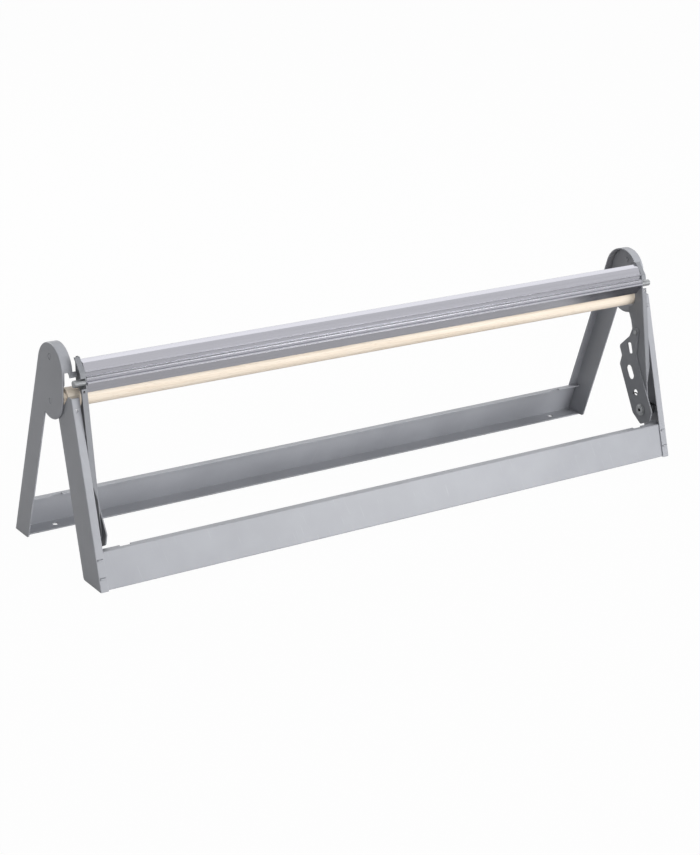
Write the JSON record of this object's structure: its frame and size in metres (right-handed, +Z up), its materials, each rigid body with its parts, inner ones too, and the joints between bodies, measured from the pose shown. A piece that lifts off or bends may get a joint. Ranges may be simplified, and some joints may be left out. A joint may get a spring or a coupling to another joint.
{
  "type": "paper roll dispenser and cutter",
  "caption": "Countertop A-frame of folded sheet steel with a wooden rod for a roll of wrapping paper and a ribbed cutter bar on sprung arms that swing forward.",
  "frame": {"origin": "middle of the footprint, on the counter", "axes": "+X along the rod, +Y towards the back, +Z up"},
  "size_m": [0.82, 0.203, 0.249],
  "materials": {
    "grey_paint": "semi-gloss grey enamel on sheet steel",
    "arm_paint": "dull darker grey enamel on sheet steel",
    "zinc_steel": "dull zinc-plated steel",
    "spring_steel": "dark oiled spring wire",
    "mill_aluminium": "mill-finish extruded aluminium",
    "blade_steel": "ground steel strip",
    "birch": "sanded pale birch"
  },
  "bodies": {
    "frame": {"rear_leg_left": "grey_paint", "rear_leg_right": "grey_paint", "front_leg_left": "grey_paint", "front_leg_right": "grey_paint", "cap_rivets_left": "grey_paint", "cap_rivets_right": "grey_paint", "pivot_stud_left": "zinc_steel", "pivot_stud_right": "zinc_steel", "pivot_washer_left": "zinc_steel", "pivot_washer_right": "zinc_steel", "torsion_spring_left": "spring_steel", "torsion_spring_right": "spring_steel", "front_rail": "grey_paint", "rear_rail": "grey_paint"},
    "cutter": {"cutter_arm_left": "arm_paint", "cutter_arm_right": "arm_paint", "slotted_plate_left": "arm_paint", "slotted_plate_right": "arm_paint", "plate_rivet_left": "zinc_steel", "plate_rivet_right": "zinc_steel", "keeper_pin_left": "zinc_steel", "keeper_pin_right": "zinc_steel", "bar_screws_left": "zinc_steel", "bar_screws_right": "zinc_steel", "cutter_bar": "mill_aluminium", "cutter_blade": "blade_steel"},
    "rod": {"roll_rod": "birch"}
  },
  "joints": [
    {"name": "cutter_swing", "type": "hinge", "parent": "frame", "child": "cutter", "pos_m": [0, -0.06148, 0.0535], "axis": [1, 0, 0], "range_deg": [0, 60], "stiffness_Nm_per_rad": 1.2, "springref_deg": -34.38, "deforming": ["torsion_spring_left", "torsion_spring_right"]},
    {"name": "rod_spin", "type": "hinge", "parent": "frame", "child": "rod", "pos_m": [0, -0.0185, 0.194], "axis": [1, 0, 0], "continuous": true}
  ]
}
